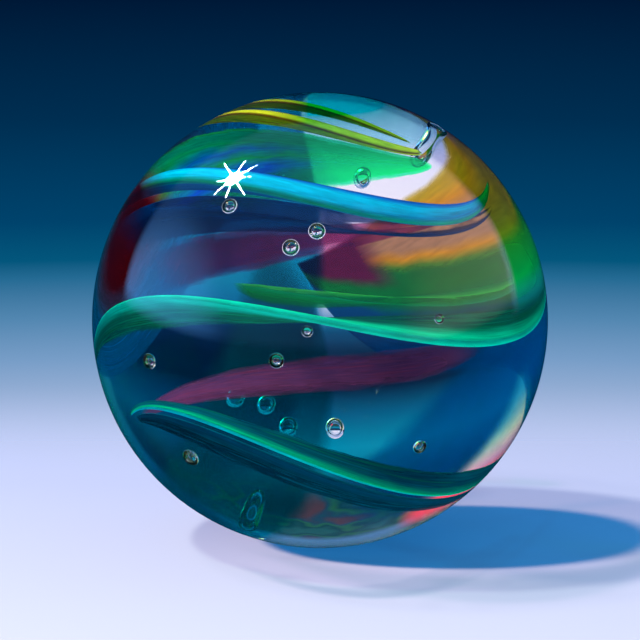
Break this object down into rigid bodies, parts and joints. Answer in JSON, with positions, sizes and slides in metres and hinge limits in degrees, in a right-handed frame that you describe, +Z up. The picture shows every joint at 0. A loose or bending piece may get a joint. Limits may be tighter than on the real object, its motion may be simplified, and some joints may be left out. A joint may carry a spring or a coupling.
{
  "type": "glass marble",
  "caption": "Round clear glass marble with twisted ribbons of coloured glass and small air bubbles sealed inside, a play piece or desk ornament that rolls freely.",
  "frame": {"origin": "centre of the ball", "axes": "+Z up through the ball, -Y towards the viewer of the picture, +X to the viewer's right; the swirl's own axis rises 32 degrees from level, to the right and 9 degrees away from the viewer"},
  "size_m": [0.025, 0.025, 0.025],
  "materials": {
    "clear_glass": "polished clear glass",
    "lime_glass": "bright yellow-green glass, streaky",
    "olive_glass": "dark yellow-green glass, streaky",
    "sea_green_glass": "thin see-through blue-green glass",
    "cyan_glass": "milky light blue glass with a green edge",
    "navy_glass": "deep blue glass",
    "magenta_glass": "see-through magenta glass",
    "mint_glass": "milky light green glass, darker towards its root",
    "emerald_glass": "green glass",
    "teal_glass": "blue-green glass",
    "dark_teal_glass": "dark blue-green glass",
    "maroon_glass": "see-through dark red glass",
    "blue_glass": "saturated blue glass",
    "red_glass": "dark red glass that turns amber at its root",
    "indigo_glass": "blue-violet glass",
    "turquoise_glass": "see-through turquoise glass",
    "amber_glass": "see-through amber glass"
  },
  "bodies": {
    "root": {"clear_glass": "clear_glass", "lime_ribbon": "lime_glass", "olive_ribbon": "olive_glass", "sea_green_ribbon": "sea_green_glass", "cyan_ribbon": "cyan_glass", "navy_ribbon": "navy_glass", "magenta_ribbon": "magenta_glass", "mint_ribbon": "mint_glass", "emerald_ribbon": "emerald_glass", "teal_ribbon": "teal_glass", "dark_teal_ribbon": "dark_teal_glass", "maroon_ribbon": "maroon_glass", "blue_ribbon": "blue_glass", "red_ribbon": "red_glass", "indigo_ribbon": "indigo_glass", "turquoise_ribbon": "turquoise_glass", "amber_ribbon": "amber_glass"}
  },
  "joints": []
}
